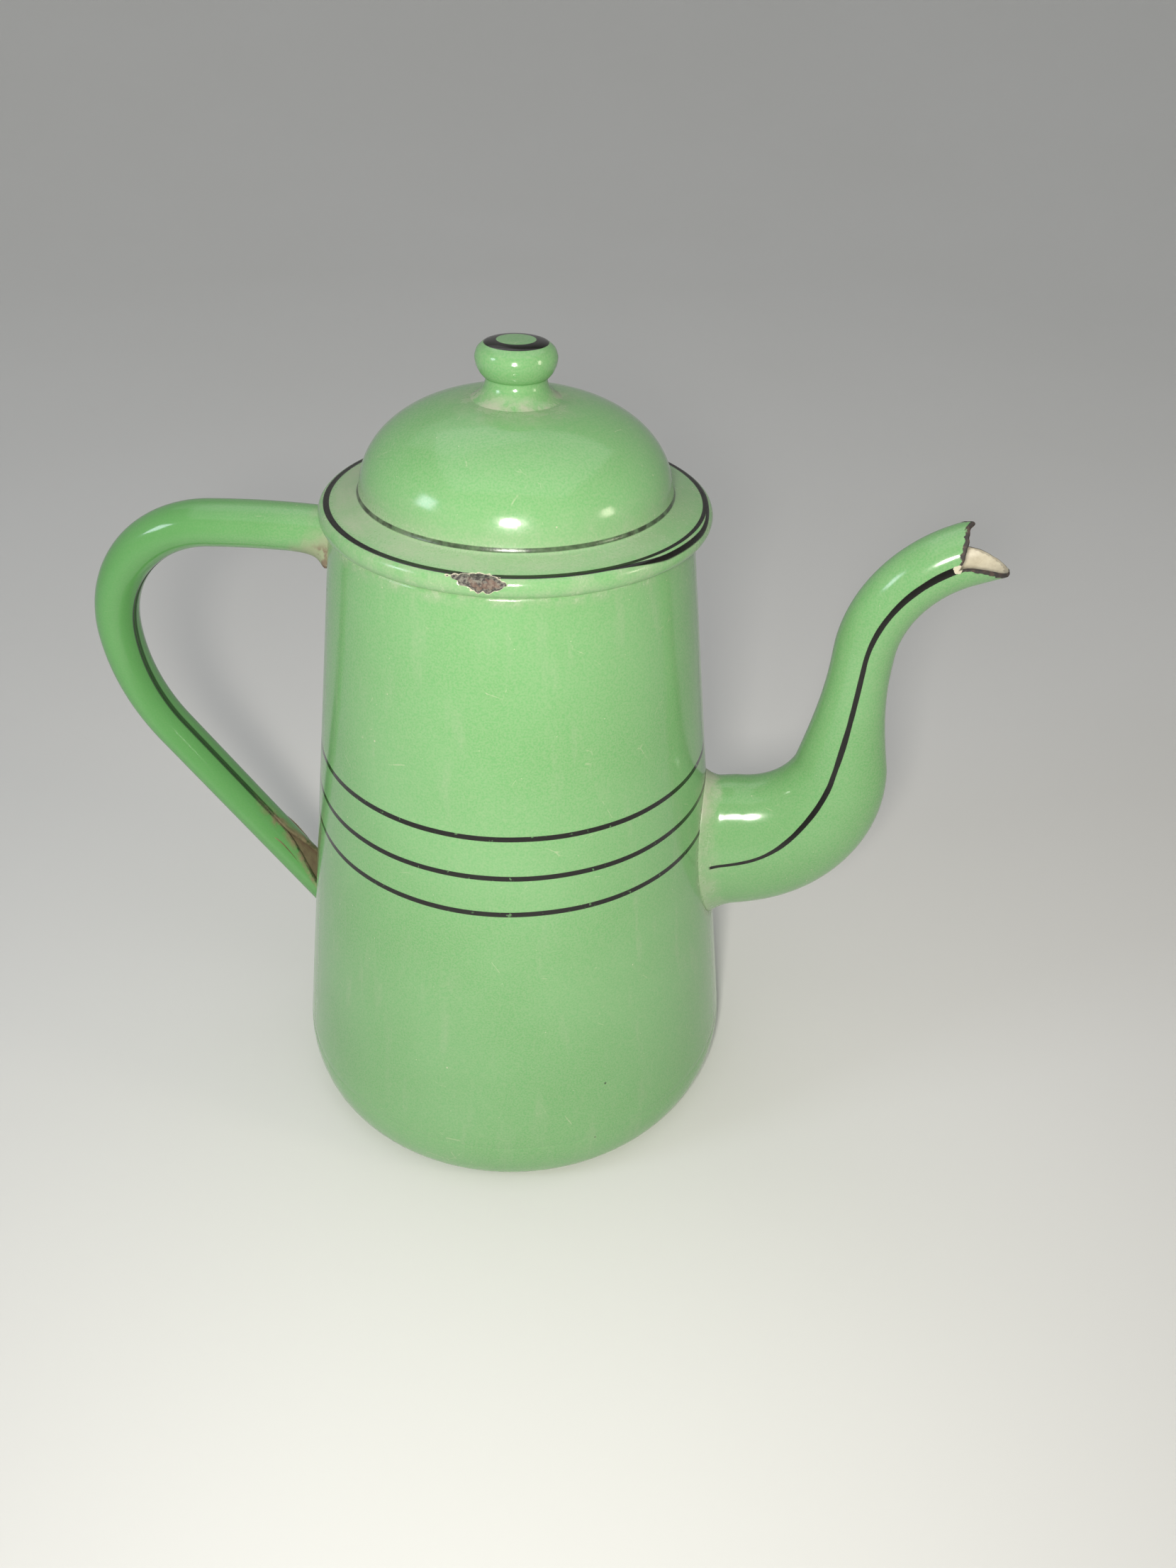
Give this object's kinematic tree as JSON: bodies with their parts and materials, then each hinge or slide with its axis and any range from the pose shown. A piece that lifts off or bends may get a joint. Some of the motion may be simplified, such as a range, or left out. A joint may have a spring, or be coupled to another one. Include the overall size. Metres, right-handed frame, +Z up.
{
  "type": "coffee percolator",
  "caption": "Enamelled stovetop coffee pot with a tapered body, goose-neck spout, rolled strap handle, domed lift-off lid and a lift-out pump and basket.",
  "frame": {"origin": "centre of the flat base, on the surface it stands on", "axes": "+Z up along the pot's axis, +X towards the spout, handle along -X"},
  "size_m": [0.2507, 0.1394, 0.2335],
  "materials": {
    "enamel_pot": "glossy light green vitreous enamel on steel with three thin black bands, cream inside",
    "enamel_spout": "glossy light green vitreous enamel with a thin black line along each side, cream inside",
    "enamel_handle": "glossy light green vitreous enamel, grime in the slot and at the roots",
    "enamel_lid": "glossy light green vitreous enamel with two black rings and one chip on the edge",
    "enamel_knob": "glossy light green vitreous enamel with a black ring on top",
    "enamel_inside": "glossy cream vitreous enamel",
    "aluminium_tube": "drawn tube, bright, lightly dulled by use",
    "aluminium_pressed": "pressed, satin",
    "aluminium_basket": "spun and perforated, satin with fine turning lines"
  },
  "bodies": {
    "pot": {"body_wall": "enamel_pot", "base_pan": "enamel_pot", "spout_left_half": "enamel_spout", "spout_right_half": "enamel_spout", "handle_strip": "enamel_handle"},
    "pump": {"pump_tube": "aluminium_tube", "pump_foot": "aluminium_pressed", "basket_stop": "aluminium_pressed"},
    "basket": {"basket": "aluminium_basket", "basket_sleeve": "aluminium_tube"},
    "spreader": {"spreader": "aluminium_basket"},
    "lid": {"lid_cover": "enamel_lid", "lid_collar": "enamel_inside", "knob_neck": "enamel_knob", "knob_cap": "enamel_knob"}
  },
  "joints": [
    {"name": "pump_lift", "type": "slide", "parent": "pot", "child": "pump", "axis": [0, 0, 1], "range_m": [0, 0.205]},
    {"name": "basket_lift", "type": "slide", "parent": "pump", "child": "basket", "axis": [0, 0, 1], "range_m": [0, 0.075]},
    {"name": "spreader_lift", "type": "slide", "parent": "basket", "child": "spreader", "axis": [0, 0, 1], "range_m": [0, 0.03]},
    {"name": "lid_lift", "type": "slide", "parent": "spreader", "child": "lid", "axis": [0, 0, 1], "range_m": [0, 0.06]}
  ]
}
